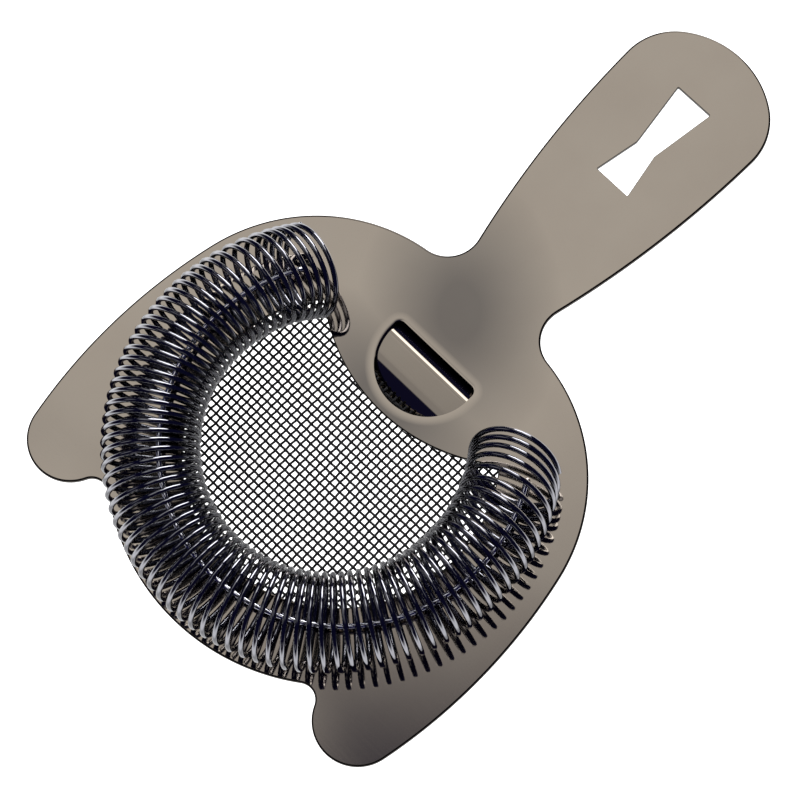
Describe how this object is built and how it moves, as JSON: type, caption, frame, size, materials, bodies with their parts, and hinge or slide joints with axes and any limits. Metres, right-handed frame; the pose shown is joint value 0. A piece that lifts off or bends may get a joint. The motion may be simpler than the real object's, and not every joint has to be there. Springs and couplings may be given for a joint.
{
  "type": "hawthorne strainer",
  "caption": "Bar strainer: a stamped sheet with two wings, a handle and a finger tab carries a round mesh screen and a ring-shaped coil spring that grips the mixing tin.",
  "frame": {"origin": "centre of the spring ring, on the spring-side face of the sheet", "axes": "+Z along the handle towards its end, -Y away from the sheet on the spring side, X across the wings"},
  "size_m": [0.1048, 0.026, 0.1629],
  "materials": {
    "gunmetal_sheet": "stainless sheet with a warm grey gunmetal plating, polished almost to a mirror with a faint grain",
    "dark_wire": "spring wire with a dark, glossy gunmetal plating",
    "screen_wire": "fine woven wire with the same dark plating"
  },
  "bodies": {
    "strainer": {"plate": "gunmetal_sheet", "finger_tab": "gunmetal_sheet", "mesh_screen": "screen_wire", "spring_rail": "dark_wire"},
    "spring": {"spring": "dark_wire"}
  },
  "joints": [
    {"name": "spring_squeeze", "type": "slide", "parent": "strainer", "child": "spring", "axis": [0, 0, 1], "range_m": [0, 0.003], "stiffness_N_per_m": 400, "deforming": ["spring"]}
  ]
}
